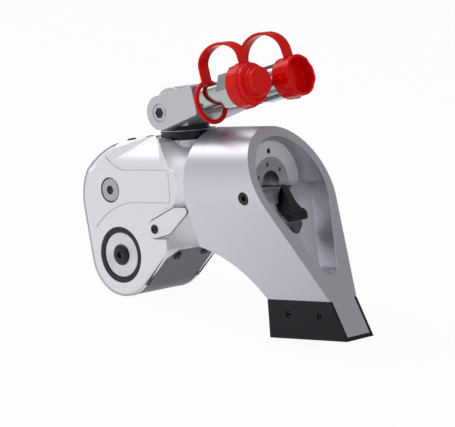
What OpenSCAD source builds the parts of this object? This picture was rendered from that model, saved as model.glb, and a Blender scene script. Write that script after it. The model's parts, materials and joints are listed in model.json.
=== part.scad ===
// Hydraulic torque wrench with square drive, splined reaction arm and tilting hose swivel.
// The tool is drawn with its drive axis along Y through the origin, the cylinder along +X and
// the hose swivel on top. stand() then turns it onto its nose and foot.

/* [Head] */
// Width of the head between its two flat sides
head_w = 68; // [64:1:76]
// Radius of the nose about the drive axis
nose_r = 35; // [34:0.5:38]
// Radius of the rounded front above the nose
brow_r = 48; // [46:0.5:50]
// Centre of the rounded front, ahead of and above the drive axis
brow = [7, 46]; // [0:0.5:60]
// Centre of the upper rear corner of the head
crown = [48, 94]; // [0:0.5:110]
// Centre of the lower rear corner of the head
heel = [48, 6]; // [0:0.5:60]
// Radius of both rear corners
corner_r = 6; // [5:0.5:7]
// Thickness of the dark shroud round the nose
shroud_t = 3.5; // [3:0.1:4]
// Width of the shroud between the side walls
shroud_w = 56; // [54:1:60]
// Thickness of the two side walls over the ratchet
wall_t = 10; // [9:0.5:12]
// Height where the bevels along the top start
bevel_z = 71; // [66:1:76]
// Lean of the bevels, sideways for each unit of height
bevel_lean = 0.4; // [0.3:0.05:0.5]

/* [Cylinder] */
// Height of the cylinder axis above the drive axis
cyl_z = 57; // [56:0.5:59]
// Outer radius of the cylinder barrel
barrel_r = 33.6; // [33:0.1:33.8]
// Distance from the drive axis to the end face of the barrel
barrel_end = 143; // [138:1:150]
// Radius of the piston bore
bore_r = 21; // [19:0.5:22]
// Radius of the piston rod
rod_r = 9; // [8:0.25:9.5]
// Swing of the drive lever for one stroke, in degrees
swing = 24; // [18:1:26]
// Teeth of the spline that holds the reaction arm
spline_teeth = 72; // [48:12:96]
// Height of the spline teeth
spline_h = 1.6; // [1.2:0.1:1.8]
// Radius of the fillet where the neck flares into the head
flare_r = 22; // [18:1:24]

/* [Drive] */
// Teeth of the ratchet
ratchet_teeth = 60; // [48:12:72]
// Tip radius of the ratchet
ratchet_r = 26; // [25:0.5:27]
// Depth of the ratchet teeth
tooth_h = 1.8; // [1.4:0.1:2.2]
// Radius of the ratchet hubs in their bushes
hub_r = 19.2; // [18.5:0.1:20]
// Wall of the black bushes round the hubs
bush_t = 4.4; // [3.5:0.1:5]
// Across flats of the square drive
square = 25.4; // [19.05:0.05:25.4]
// Length of the square that stands out of the head
square_len = 27; // [24:0.5:32]
// Half width of the ratchet between the drive plates
ratchet_half = 15; // [13:0.5:15.5]
// Thickness of each drive plate
plate_t = 7; // [6:0.25:7.5]

/* [Release lever] */
// Place of the pawl shaft, behind and above the drive axis
pawl_at = [43, 22.4]; // [10:0.2:60]
// Swing of the release lever, in degrees
pawl_swing = 12; // [8:1:14]
// Thickness of the release lever
lever_t = 4; // [3:0.25:5]
// Depth of the lever's pocket below the side of the head
pocket_d = 2.8; // [2:0.2:4]

/* [Reaction arm] */
// Outer radius of the arm round the barrel
arm_r = 46; // [44:0.5:50]
// Front face of the arm
arm_x = 89; // [86:1:94]
// Place of the sloping rear face at the height of the cylinder axis
arm_rear = 166.6; // [162:0.5:175]
// Lean of the rear face, backwards for each unit of height
arm_lean = 0.48; // [0.4:0.01:0.6]
// Radius of the hollow curve under the arm
arm_sweep_r = 91.5; // [88:0.5:95]
// Front of the boot on the foot
boot_x = 145; // [140:1:150]
// Height of the top of the boot
boot_top = -35; // [-40:1:-30]
// Height of the sole of the boot
boot_sole = -66; // [-75:1:-60]
// Half thickness of the boot
boot_half = 16.5; // [15:0.25:19]
// Wall of the boot
boot_t = 3; // [2:0.25:4]
// Wall of the arm round its rear pocket
pocket_wall = 8; // [7:0.25:9]
// Depth of the pocket's floor below the rear face, measured along X
pocket_floor = 18.5; // [16:0.5:20]
// Radius of the thumb scoop above that floor
scoop_r = 16; // [14:0.5:20]
// Place of the lock lever's pin
lock_at = [153, 49.6]; // [30:0.2:170]

/* [Swivel] */
// Place of the swivel's upright axis behind the drive axis
swivel_x = 56; // [54:0.5:58]
// Height of the top of the base flange
flange_z = 102; // [101:0.5:106]
// Radius of the base flange
flange_r = 23; // [21:0.5:25]
// Height of the tilt axis of the coupler block
pivot_z = 118; // [117.5:0.5:124]
// Tilt of the coupler block at rest, in degrees
block_tilt = 11.9; // [10:0.1:30]
// Width of the coupler block
block_w = 66; // [64:1:76]
// Width of the post between the block's cheeks
post_w = 36; // [32:0.5:38]
// Radius of the round top of the post
post_r = 19.8; // [18:0.2:21]
// Radius of the block's front end
block_r = 14.2; // [13:0.2:15]
// Place of the block's rear face behind the tilt axis
block_len = 41; // [40:0.5:48]

/* [Couplers and caps] */
// Spacing of the two couplers
coupler_gap = 42; // [40:0.5:46]
// Rise of the coupler axes above the tilt axis, square to the block
coupler_rise = 1.5; // [0:0.25:2.5]
// Radius of the coupler necks
neck_r = 9.6; // [9:0.1:10.5]
// Across flats of the coupler hexagons
hex_af = 27; // [24:0.5:28]
// Radius of the near cap's ribbed ring
near_cap_r = 18; // [17.5:0.25:19]
// Radius of the far cap
far_cap_r = 17.2; // [17:0.2:18.6]
// Height of the cap ribs
rib_h = 0.9; // [0.5:0.1:1.2]
// Number of ribs round each cap
ribs = 12; // [8:1:20]
// Width of the cap straps
strap_w = 11; // [8:0.5:12]
// Thickness of the cap straps
strap_t = 2.5; // [2:0.1:3]

/* [Fits] */
// Radial clearance of running fits
fit = 0.05; // [0.02:0.01:0.08]
// Clearance between pieces that pass each other
gap = 0.3; // [0.2:0.05:0.5]

/* [Hidden] */
$fn = 96;
// Length given to cuts that run right out of a piece
far_out = 300;
// Angle between two points on a round stretch of an outline
arc_step = 5;

// Head values that follow from the sizes above
head_half = head_w / 2;
head_rounds = [
  [0, 0, nose_r], [heel.x, heel.y, corner_r], [crown.x, crown.y, corner_r], [brow.x, brow.y, brow_r]
];
neck_x = heel.x + corner_r;
flare_x = neck_x + flare_r;
shroud_top_x = brow.x + 7;
chamber_half = head_half - wall_t;
shoulder_y = head_half + 1.5;
bush_r = hub_r + fit + bush_t;
bush_y = head_half - wall_t;

// Stroke, and the pin of the rod at the start of it
pin_x = cyl_z * tan(swing / 2);
stroke = 2 * pin_x;
pin_r = 6;
pin_room = 0.4;
eye_half = 11;
eye_r = pin_r + 4;
plate_end_r = 11;
plate_y = ratchet_half + gap;
plate_out = plate_y + plate_t;

// Plug over the rod pin
plug_at = [-pin_x * 0.55, cyl_z - 2.5];
plug_r = 10;

// Cylinder stations along X
rod_bush_x = neck_x + 4;
rod_bush_len = 8;
rod_bush_r = rod_r + 4;
bore_x = rod_bush_x + rod_bush_len;
gland_len = 19;
gland_x = barrel_end - gland_len;
gland_r = bore_r + 0.4;
piston_len = 18;
piston_x = gland_x - piston_len - 4;
catch_r = 10.2;
catch_groove_r = 12.6;
catch_lip = 3;
catch_depth = 10.5;
spline_x = arm_x + 6;
spline_root = barrel_r + 0.4;
grub_up = 26;
grub_r = 2.2;

// Drive segment and the tie pin behind its springs
segment_angle = 92;
segment_half = 14;
segment_r = ratchet_r + 7;
segment_pin_r = 2;
segment_pin_at = polar(segment_r - 3.2, segment_angle - segment_half * 0.6);
tie_at = polar(ratchet_r + 18, segment_angle);
tie_r = 4;
spring_at_y = 6;

// Splined shaft of the square drive and its screw
drive_teeth = 24;
drive_root = 14.6;
drive_tip = 16.2;
socket_pin_r = 2.6;
retainer_screw_r = 5;

// Pawl and release lever
lever_screw_r = 2;
pawl_tip = [17, 23.5];
pawl_half = ratchet_half - 3;
pawl_shaft_r = 4.5;
lever_rounds = [
  [pawl_at.x, pawl_at.y, 7.4], [pawl_at.x + 15, pawl_at.y - 0.6, 3.5],
  [pawl_at.x + 34.5, pawl_at.y + 15.1, 3], [pawl_at.x + 24.5, pawl_at.y + 15.1, 3]
];
pocket_y = -head_half + pocket_d;
lever_room = 1.2;

// Reaction arm
boot_rounds_r = 0.5;
arm_section = [
  [0, cyl_z, arm_r], [-boot_half + boot_rounds_r, boot_top + boot_rounds_r, boot_rounds_r],
  [boot_half - boot_rounds_r, boot_top + boot_rounds_r, boot_rounds_r]
];
foot_half = boot_half - boot_t;
sweep_top = [arm_x, cyl_z - arm_r - 2.7];
sweep_c = sweep_centre(sweep_top, [boot_x, boot_top], arm_sweep_r);
disc_gap = 0.6;
web_top = lock_at.y + 5.4;
web_lip = 8;
pocket_r = arm_r - pocket_wall;
slot_end = [0, -4, 11];
lock_pin_r = 3;
lock_head_r = 5.3;
lock_half = 3.8;
hook_r = 1.6;
hook_drop = sqrt(pow(catch_r - 2 * gap, 2) - lock_half * lock_half) - hook_r;
lock_slot_half = 6.8;
pad_half = 10;
boot_screw_xs = [boot_x + 21.6, boot_x + 54];

// Swivel
collar_r = 18.2;
collar_z = 94;
spigot_r = 11;
spigot_z = 82;
swivel_ring_z = spigot_z + 4;
swivel_seal_zs = [spigot_z + 0.8, collar_z - 3];
flange_t = 5.5;
seat_r = flange_r + 5;
pedestal_z = flange_z + 3.5;
bolt_r = 6;
bolt_head_r = 7.4;
bolt_head_t = 5;
cheek_in = post_w / 2 + gap;

// Couplers, measured along the block's own axis from the tilt axis
hex_u = block_len + 28;
hex_len = 12;
near_body_u = hex_u + hex_len;
near_body_r = 13.2;
near_tip_u = near_body_u + 11;
near_tip_len = 8;
near_tip_r = 10;
near_cap_u = near_body_u + 1.5;
near_collar_u = near_cap_u + 12.5;
near_collar_r = near_cap_r - 1.5;
near_boss_u = near_collar_u + 4;
near_boss_r = 11.5;
near_cap_end = near_tip_u + near_tip_len + 7;
sleeve_u = hex_u + 6;
sleeve_r = 14.8;
sleeve_len = 22;
far_body_r = 11.5;
far_lip = 1.5;
far_cap_u = sleeve_u + 20;
far_cap_len = 17;
far_skirt = 4.2;
far_wall = 2.4;
far_hollow_r = 14.6;

// The straps' rings: the near one hangs loose on its neck, the far one sits snug
ring_u = block_len + 7;
ring_r = 14.4;
ring_band = 3.8;
ring_drop = ring_r - neck_r - gap;
far_ring_u = block_len + 19;
far_ring_r = neck_r + gap;
far_ring_band = 3.2;
ring_t = 3;

// The rest attitude: the tool leans back until its nose and the front of its foot share one floor
stand_angle = atan2(-boot_sole, boot_x) - asin(nose_r / norm([boot_x, boot_sole]));

// Points, arcs and outlines
function polar(r, a) = [r * cos(a), r * sin(a)];
function arc(c, r, a0, a1, n) = [for (k = [0:n]) c + polar(r, a0 + (a1 - a0) * k / n)];
function tangent_angle(a, b) =
  atan2(b.y - a.y, b.x - a.x) - acos((a.z - b.z) / norm([b.x - a.x, b.y - a.y]));

// The outline of a belt drawn tight round circles [x, y, r], listed against the clock
function belt(rounds, inset = 0) = [
  for (i = [0:len(rounds) - 1])
    let (
      n = len(rounds),
      c = rounds[i],
      a0 = tangent_angle(rounds[(i + n - 1) % n], c),
      sweep = (tangent_angle(c, rounds[(i + 1) % n]) - a0 + 720) % 360,
      steps = max(1, ceil(sweep / arc_step))
    )
    for (k = [0:steps]) [c.x, c.y] + polar(c.z - inset, a0 + sweep * k / steps)
];

// The outline of a toothed wheel with flat crests; grow widens the teeth for a matching hole
function spline_outline(n, root, tip, grow) = [
  for (i = [0:n - 1], p = [[-0.29, 0], [-0.19, 1], [0.19, 1], [0.29, 0]])
    polar(p.y == 0 ? root : tip, (i + p.x + sign(p.x) * grow) * 360 / n)
];

// Saw teeth from tooth number first to last
function saw_teeth(n, root, tip, first, last) = [
  for (i = [first:last], p = [[0, 0], [0.6, 1]]) polar(p.y == 0 ? root : tip, (i + p.x) * 360 / n)
];

// The lower centre of an arc of radius r through two points
function sweep_centre(a, b, r) =
  let (m = (a + b) / 2, d = b - a, h = sqrt(r * r - d * d / 4))
  m + [d.y, -d.x] / norm(d) * h;

function rear_x(z) = arm_rear + (cyl_z - z) * arm_lean;

// A tube swept along points, as a coil of wire
function coil_point(r, pitch, a) = [r * cos(a), r * sin(a), pitch * a / 360];
function ring_points(c, a, r, sides) = [
  for (s = [0:sides - 1]) let (b = s * 360 / sides) c + r * [cos(b) * cos(a), cos(b) * sin(a), sin(b)]
];

// Placing helpers
module stand() rotate([0, -stand_angle, 0]) translate([0, -shoulder_y, 0]) children();
module along_y(y0, y1) translate([0, y1, 0]) rotate([90, 0, 0]) linear_extrude(y1 - y0) children();
module along_x(x0, x1) translate([x0, 0, 0]) rotate([90, 0, 90]) linear_extrude(x1 - x0) children();
module y_rod(at, y0, y1, r) translate([at.x, y1, at.y]) rotate([90, 0, 0]) cylinder(h = y1 - y0, r = r);
module x_rod(x0, x1, r) translate([x0, 0, cyl_z]) rotate([0, 90, 0]) cylinder(h = x1 - x0, r = r);
module z_rod(z0, z1, r) translate([swivel_x, 0, z0]) cylinder(h = z1 - z0, r = r);
module y_rod_ring(at, y0, y1, r_out, r_in) difference() {
  y_rod(at, min(y0, y1), max(y0, y1), r_out);
  y_rod(at, min(y0, y1) - 1, max(y0, y1) + 1, r_in);
}
module x_rod_groove(x, w, r_out, r_in) difference() {
  x_rod(x, x + w, r_out + 1);
  x_rod(x - 1, x + w + 1, r_in);
}
module z_rod_groove(z, h, r_out, r_in) difference() {
  z_rod(z, z + h, r_out + 1);
  z_rod(z - 1, z + h + 1, r_in);
}
module block_frame() translate([swivel_x, 0, pivot_z]) rotate([0, -block_tilt, 0]) children();
module coupler_frame(side)
  block_frame() translate([0, side * coupler_gap / 2, coupler_rise]) rotate([0, 90, 0]) children();
module hex_socket(af, depth) cylinder(h = depth, r = af / sqrt(3), $fn = 6);
module ring(r_out, r_in, h) difference() {
  cylinder(h = h, r = r_out);
  translate([0, 0, -1]) cylinder(h = h + 2, r = r_in);
}

// A round-wire coil along Z
module coil(r, wire, turns, pitch) {
  steps = 14;
  sides = 6;
  count = turns * steps;
  points = [
    for (i = [0:count]) let (a = i * 360 / steps) each ring_points(coil_point(r, pitch, a), a, wire, sides)
  ];
  walls = [
    for (i = [0:count - 1], s = [0:sides - 1])
      let (t = (s + 1) % sides) [i * sides + s, (i + 1) * sides + s, (i + 1) * sides + t, i * sides + t]
  ];
  caps = [[for (s = [0:sides - 1]) s], [for (s = [sides - 1:-1:0]) count * sides + s]];
  polyhedron(points, concat(walls, caps));
}

// A button or cap screw along -Z from its seat, with a hexagon socket in its head
module screw(head_r, head_h, shank_r, shank, af) difference() {
  union() {
    cylinder(h = head_h, r = head_r);
    translate([0, 0, -shank]) cylinder(h = shank + 0.1, r = shank_r);
  }
  translate([0, 0, head_h * 0.35]) hex_socket(af, head_h);
}

// Head

// The parts of the head outline that the shroud covers
module shroud_outline() intersection() {
  difference() {
    polygon(belt(head_rounds));
    polygon(belt(head_rounds, shroud_t));
  }
  polygon([
    [-far_out, far_out], [shroud_top_x, far_out], [shroud_top_x, brow.y], [0, brow.y],
    [0, heel.y - 3], [far_out, heel.y - 3], [far_out, -far_out], [-far_out, -far_out]
  ]);
}

// The neck: the stretch between the flat head and the round barrel
module neck() intersection() {
  translate([0, 0, cyl_z]) rotate([0, 90, 0]) rotate_extrude() polygon(concat(
    [[0, neck_x - 1], [barrel_r + flare_r, neck_x - 1]],
    arc([barrel_r + flare_r, flare_x], flare_r, 270, 180, 9),
    [[barrel_r, flare_x + 4], [0, flare_x + 4]]
  ));
  translate([neck_x - 1, -head_half, heel.y - 3]) cube([flare_r + 5, head_w, collar_z - heel.y + 2.5]);
}

// The room for the drive lever, the ratchet, the pawl and the rod
module chamber() {
  along_y(-chamber_half, chamber_half) polygon(belt([
    [0, 0, nose_r - shroud_t + 0.5], [pin_x, cyl_z, plate_end_r + 3], [-pin_x, cyl_z, plate_end_r + 3]
  ]));
  along_y(-pawl_half - 1, chamber_half) polygon(belt([
    [pawl_at.x, pawl_at.y, 9], [pawl_tip.x, pawl_tip.y + 4.5, 12]
  ]));
  x_rod(0, rod_bush_x + 0.1, rod_r + 1.5);
}

// The bevel along one top edge of the head, or the same moved in towards the middle
module top_bevel(inset = 0) along_x(-far_out, neck_x - 1) polygon([
  [head_half - inset, bevel_z], [far_out, bevel_z], [far_out, far_out],
  [head_half - inset - (far_out - bevel_z) * bevel_lean, far_out]
]);

// The whole of the shroud, which is also the room for it in the housing
module shroud_body() difference() {
  along_y(-shroud_w / 2, shroud_w / 2) shroud_outline();
  for (s = [0, 1]) mirror([0, s, 0]) {
    top_bevel(head_half - shroud_w / 2);
    shroud_rear() translate([0, 0, -10]) linear_extrude(30) polygon([[-14, 12], [-14, 40], [14, 40]]);
  }
}

module lever_pocket() for (a = [0:pawl_swing / 3:pawl_swing])
  along_y(-far_out, pocket_y) translate(pawl_at) rotate(-a) translate(-pawl_at)
    polygon(belt(lever_rounds, -lever_room));

module housing() color("#d8d8de") stand() difference() {
  union() {
    difference() {
      along_y(-head_half, head_half) polygon(belt(head_rounds));
      top_bevel();
      mirror([0, 1, 0]) top_bevel();
    }
    neck();
    x_rod(neck_x, barrel_end, barrel_r);
    along_x(spline_x, barrel_end) translate([0, cyl_z])
      polygon(spline_outline(spline_teeth, spline_root, spline_root + spline_h, 0));
    z_rod(cyl_z, collar_z, collar_r + 1.8);
  }
  chamber();
  shroud_body();
  shroud_screw_places() translate([0, 0, -8]) cylinder(h = 9, r = 2);
  y_rod([0, 0], -far_out, far_out, bush_r);
  y_rod(plug_at, -far_out, -chamber_half + 1, plug_r);
  y_rod(pawl_at, -far_out, chamber_half + 6, pawl_shaft_r + fit);
  lever_pocket();
  x_rod(rod_bush_x, bore_x + 0.1, rod_bush_r);
  x_rod(bore_x, gland_x + 0.1, bore_r);
  x_rod(gland_x, far_out, gland_r);
  translate([barrel_end - 8, 0, cyl_z + grub_up]) rotate([0, 90, 0]) cylinder(h = 20, r = grub_r);
  z_rod(collar_z, far_out, collar_r + 0.5);
  z_rod(flange_z - flange_t - gap, far_out, seat_r);
  z_rod(spigot_z - 1, collar_z + 0.1, spigot_r + fit);
  z_rod(swivel_ring_z - 0.2, swivel_ring_z + 1.7, spigot_r + 2.5);
}

module shroud() color("#565b63") stand() difference() {
  shroud_body();
  shroud_screw_places() translate([0, 0, -8]) cylinder(h = 9, r = 2);
}

// The flat of the shroud by its rear seam, with Z straight out of it and X towards the nose
module shroud_rear() {
  a = tangent_angle(head_rounds[0], head_rounds[1]);
  p = [heel.x, heel.y] + polar(corner_r, a) - polar(5, a + 90);
  translate([p.x, 0, p.y]) rotate([0, 90 - a, 0]) children();
}

// Two screws by the rear seam and two by the top seam, each square to the shroud
module shroud_screw_places() {
  a = tangent_angle(head_rounds[2], head_rounds[3]);
  p = [brow.x, brow.y] + polar(brow_r, a);
  for (y = [-16.5, 16.5]) shroud_rear() translate([0, y, 0]) children();
  for (y = [-11, 11]) translate([p.x, y, p.y]) rotate([0, 90 - a, 0]) children();
}

module shroud_screws() color("#1c2026") stand() shroud_screw_places() screw(4.2, 2.2, 2, 7.5, 2.5);

module drive_bush(side) color("#20242a")
  y_rod_ring([0, 0], side * bush_y, side * head_half, bush_r, hub_r + fit);
module drive_bush_near() stand() drive_bush(-1);
module drive_bush_far() stand() drive_bush(1);

module pin_access_plug() color("#9a9da2") stand() difference() {
  y_rod(plug_at, -head_half, -chamber_half - 0.5, plug_r);
  translate([plug_at.x, -head_half - 1, plug_at.y]) rotate([-90, 0, 0]) hex_socket(7, 6);
}

module rod_bush() color("#b08d4a") stand() difference() {
  x_rod(rod_bush_x, bore_x, rod_bush_r);
  x_rod(rod_bush_x - 1, bore_x + 1, rod_r + fit);
  x_rod(rod_bush_x + 3, rod_bush_x + 5.4, rod_r + 2.2);
}

module rod_seal() color("#202020") stand() difference() {
  x_rod(rod_bush_x + 3.1, rod_bush_x + 5.3, rod_r + 2.1);
  x_rod(rod_bush_x + 2, rod_bush_x + 6.4, rod_r + fit);
}

module gland_nut() color("#8e9198") stand() difference() {
  x_rod(gland_x, barrel_end, gland_r);
  x_rod(barrel_end - catch_depth, far_out, catch_r);
  x_rod(barrel_end - catch_depth, barrel_end - catch_lip, catch_groove_r);
  for (a = [40:60:340]) translate([barrel_end - 5, 15.5 * cos(a), cyl_z + 15.5 * sin(a)])
    rotate([0, 90, 0]) cylinder(h = 10, r = 1.7);
  x_rod_groove(gland_x + 3, 2.4, gland_r, gland_r - 1.8);
}

module gland_seal() color("#202020") stand() intersection() {
  x_rod_groove(gland_x + 3.1, 2.2, gland_r, gland_r - 1.7);
  x_rod(gland_x, barrel_end, gland_r - 0.02);
}

module grub_screw() color("#30343a") stand()
  translate([barrel_end - 7.9, 0, cyl_z + grub_up]) rotate([0, 90, 0]) difference() {
    cylinder(h = 7, r = grub_r - 0.02);
    translate([0, 0, 4]) hex_socket(2, 10);
  }

// Piston and rod

module piston() color("#a9adb3") stand() difference() {
  x_rod(piston_x, piston_x + piston_len, bore_r - fit);
  x_rod_groove(piston_x + 7, 4, bore_r, bore_r - 3);
  x_rod(piston_x - 1, piston_x + piston_len - 4, rod_r * 0.7);
}

module piston_seal() color("#202020") stand() intersection() {
  x_rod_groove(piston_x + 7.1, 3.8, bore_r, bore_r - 2.9);
  x_rod(piston_x, piston_x + piston_len, bore_r - fit);
}

module piston_rod() color("#c9ccd1") stand() difference() {
  union() {
    x_rod(pin_x + pin_r, piston_x, rod_r);
    x_rod(piston_x - 0.1, piston_x + piston_len - 4.1, rod_r * 0.7 - 0.02);
    y_rod([pin_x, cyl_z], -eye_half, eye_half, eye_r);
  }
  y_rod([pin_x, cyl_z], -far_out, far_out, pin_r);
}

module rod_pin() color("#7e8288") stand() y_rod([pin_x, cyl_z], -plate_out, plate_out, pin_r);

// Drive lever, drawn at the start of the stroke

module drive_plate(side) color("#9b9a93") stand() difference() {
  along_y(side > 0 ? plate_y : -plate_out, side > 0 ? plate_out : -plate_y)
    polygon(belt([[0, 0, ratchet_r + 3], [pin_x, cyl_z, plate_end_r]]));
  y_rod([0, 0], -far_out, far_out, hub_r + fit);
  along_y(-far_out, far_out) rotate(90 - swing / 2) polygon(belt([
    [cyl_z, 0, pin_r + pin_room], [cyl_z / cos(swing / 2), 0, pin_r + pin_room]
  ]));
  y_rod(tie_at, -far_out, far_out, tie_r);
  y_rod(segment_pin_at, -far_out, far_out, segment_pin_r);
}
module drive_plate_near() drive_plate(-1);
module drive_plate_far() drive_plate(1);

module plate_tie_pin() color("#7e8288") stand() y_rod(tie_at, -plate_out, plate_out, tie_r);
module segment_pin() color("#7e8288") stand() y_rod(segment_pin_at, -plate_out, plate_out, segment_pin_r);

module drive_segment() color("#6d6f73") stand() difference() {
  first = ceil((segment_angle - segment_half) * ratchet_teeth / 360);
  last = floor((segment_angle + segment_half) * ratchet_teeth / 360);
  along_y(-ratchet_half + 1, ratchet_half - 1) polygon(concat(
    saw_teeth(ratchet_teeth, ratchet_r - tooth_h + gap, ratchet_r + gap, first, last),
    arc([0, 0], segment_r, last * 360 / ratchet_teeth + 3, first * 360 / ratchet_teeth, 6)
  ));
  y_rod(segment_pin_at, -far_out, far_out, segment_pin_r);
}

module segment_springs() color("#b9bcc2") stand() for (s = [-1, 1]) {
  room = norm(tie_at) - tie_r - segment_r;
  wire = 0.5;
  translate([0, s * spring_at_y, 0]) rotate([0, 90 - segment_angle, 0])
    translate([0, 0, segment_r + wire + 0.15]) coil(2.4, wire, 4, (room - 2 * wire - 0.4) / 4);
}

// Ratchet and square drive

module ratchet() color("#6f7176") stand() difference() {
  union() {
    along_y(-ratchet_half, ratchet_half)
      polygon(saw_teeth(ratchet_teeth, ratchet_r - tooth_h, ratchet_r, 0, ratchet_teeth - 1));
    y_rod([0, 0], -head_half + 4, head_half, hub_r);
  }
  along_y(-far_out, far_out) polygon(spline_outline(drive_teeth, drive_root + 0.1, drive_tip + 0.1, 0.03));
}

module square_drive() color("#5c5f64") stand() difference() {
  union() {
    along_y(-head_half + 4.2, head_half + 0.1) polygon(spline_outline(drive_teeth, drive_root, drive_tip, 0));
    y_rod([0, 0], head_half + fit, shoulder_y, hub_r - 0.4);
    intersection() {
      translate([-square / 2, shoulder_y - 0.1, -square / 2]) cube([square, square_len + 0.1, square]);
      y_rod([0, 0], head_half, shoulder_y + square_len, square * 0.66);
    }
  }
  translate([0, shoulder_y + square_len * 0.6, -far_out / 2]) cylinder(h = far_out, r = socket_pin_r);
  y_rod([0, 0], -far_out, -head_half + 22, retainer_screw_r);
}

module drive_retainer() color("#c4c6cb") stand() difference() {
  y_rod([0, 0], -head_half + 0.8, -head_half + 4, hub_r - 0.1);
  y_rod([0, 0], -far_out, far_out, retainer_screw_r + 0.1);
}

module retainer_screw() color("#1c2026") stand() translate([0, -head_half + 0.8, 0]) rotate([90, 0, 0])
  screw(9, 2.4, retainer_screw_r - 0.02, 20, 5);

// Anti-reverse pawl

module pawl() color("#77797e") stand() difference() {
  along_y(-pawl_half, pawl_half) polygon(belt([
    [pawl_at.x, pawl_at.y, 7], [pawl_tip.x, pawl_tip.y, 5.5]
  ]));
  y_rod([0, 0], -far_out, far_out, ratchet_r + gap + 0.05);
  y_rod(pawl_at, -far_out, far_out, pawl_shaft_r);
}

module pawl_shaft() color("#8d9096") stand() difference() {
  y_rod(pawl_at, pocket_y - 0.3 - lever_t * 0.6, chamber_half + 5.5, pawl_shaft_r);
  y_rod(pawl_at, -far_out, pocket_y + 8, lever_screw_r);
}

module release_lever() color("#d6d6dc") stand() difference() {
  along_y(pocket_y - 0.3 - lever_t, pocket_y - 0.3) polygon(belt(lever_rounds));
  y_rod(pawl_at, pocket_y - 0.3 - lever_t * 0.6, far_out, pawl_shaft_r);
  y_rod(pawl_at, -far_out, far_out, lever_screw_r);
}

module lever_screw() color("#1c2026") stand() translate([pawl_at.x, pocket_y - 0.3 - lever_t, pawl_at.y])
  rotate([90, 0, 0]) screw(4, 1.4, lever_screw_r, 9, 2.5);

module pawl_spring() color("#b9bcc2") stand()
  translate([pawl_at.x, chamber_half - 1, pawl_at.y]) rotate([90, 0, 0])
    coil(pawl_shaft_r + 1.2, 0.7, 4, 2.1);

// Reaction arm

function sweep_angle(p) = atan2(p.y - sweep_c.y, p.x - sweep_c.x);

function boot_outline(inset) = [
  [boot_x + inset, boot_sole + inset], [rear_x(boot_sole + inset), boot_sole + inset],
  [rear_x(boot_top), boot_top], [boot_x + inset, boot_top]
];

// The thumb scoop: an arc from the web's lip down to the pocket's floor, which it meets without a step
function scoop() =
  let (
    out = [1, arm_lean] / norm([1, arm_lean]),
    lip = [rear_x(web_top) - web_lip, web_top],
    rise = (pocket_floor - web_lip) * out.x,
    run = sqrt(2 * rise * scoop_r - rise * rise),
    c = lip - rise * out + run * [out.y, -out.x] + scoop_r * out,
    a0 = atan2(lip.y - c.y, lip.x - c.x),
    a1 = atan2(-out.y, -out.x)
  )
  arc(c, scoop_r, (a0 + 360) % 360, (a1 + 360) % 360, 8);

module arm_pocket() difference() {
  along_x(barrel_end + disc_gap, far_out) polygon(belt([slot_end, [0, cyl_z, pocket_r]]));
  along_y(-far_out, far_out) polygon([
    [0, web_top],
    each scoop(),
    [rear_x(-far_out) - pocket_floor, -far_out],
    [0, -far_out]
  ]);
}

// The slot where the lock lever swings, narrow at its hub and wide at its thumb pad
module lock_slot() {
  translate([barrel_end + disc_gap, -lock_slot_half, lock_at.y - 15]) cube([60, 2 * lock_slot_half, 40]);
  along_x(lock_at.x - 1, lock_at.x + 60) polygon([
    [-pad_half - 1, lock_at.y - 8], [-pad_half - 1, lock_at.y - 26.4], [-2, lock_at.y - 33],
    [2, lock_at.y - 33], [pad_half + 1, lock_at.y - 26.4], [pad_half + 1, lock_at.y - 8]
  ]);
}

module reaction_arm() color("#c9cbd1") stand() difference() {
  union() {
    intersection() {
      along_x(arm_x, far_out) polygon(belt(arm_section));
      along_y(-far_out, far_out) polygon(concat(
        arc(sweep_c, arm_sweep_r, sweep_angle(sweep_top), sweep_angle([boot_x, boot_top]), 14),
        [
          [rear_x(boot_top), boot_top], [rear_x(cyl_z + arm_r + 5), cyl_z + arm_r + 5],
          [arm_x, cyl_z + arm_r + 5]
        ]
      ));
    }
    along_y(-foot_half, foot_half) polygon(concat(
      [for (k = [0:1]) boot_outline(boot_t)[k]],
      [[rear_x(boot_top + 4), boot_top + 4], [boot_x + boot_t, boot_top + 4]]
    ));
  }
  along_x(arm_x - 1, barrel_end + disc_gap + 0.1) translate([0, cyl_z])
    polygon(spline_outline(spline_teeth, spline_root + gap, spline_root + spline_h + gap, 0.07));
  arm_pocket();
  lock_slot();
  y_rod(lock_at, -far_out, 30, lock_pin_r);
  y_rod(lock_at, -far_out, -arm_r + 6, lock_head_r);
  for (x = boot_screw_xs, s = [-1, 1])
    boot_screw_place(x, s) translate([0, 0, -far_out / 2]) cylinder(h = far_out, r = 2.5);
}

module boot_screw_place(x, s)
  translate([x, s * boot_half, (boot_top + boot_sole) / 2 + 4]) rotate([-90 * s, 0, 0]) children();

module reaction_boot() color("#22272e") stand() difference() {
  along_y(-boot_half, boot_half) polygon(boot_outline(0));
  along_y(-foot_half, foot_half) polygon(concat(
    [for (k = [0:1]) boot_outline(boot_t)[k] + [k * 10, 0]],
    [[rear_x(boot_top) + 10, boot_top + 1], [boot_x + boot_t, boot_top + 1]]
  ));
  for (x = boot_screw_xs, s = [-1, 1]) boot_screw_place(x, s) translate([0, 0, -20]) cylinder(h = 30, r = 3);
}

module boot_screws() color("#15181c") stand() for (x = boot_screw_xs, s = [-1, 1])
  boot_screw_place(x, s) translate([0, 0, -9]) difference() {
    cylinder(h = 8, r = 2.48);
    translate([0, 0, 5]) hex_socket(2.5, 10);
  }

module lock_pin() color("#1c2026") stand() difference() {
  union() {
    y_rod(lock_at, -arm_r + 5.9, 29.8, lock_pin_r - 0.02);
    y_rod(lock_at, -arm_r + 1, -arm_r + 5.9, lock_head_r - 0.02);
  }
  translate([lock_at.x, -arm_r - 1, lock_at.y]) rotate([-90, 0, 0]) hex_socket(4, 5);
}

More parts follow.
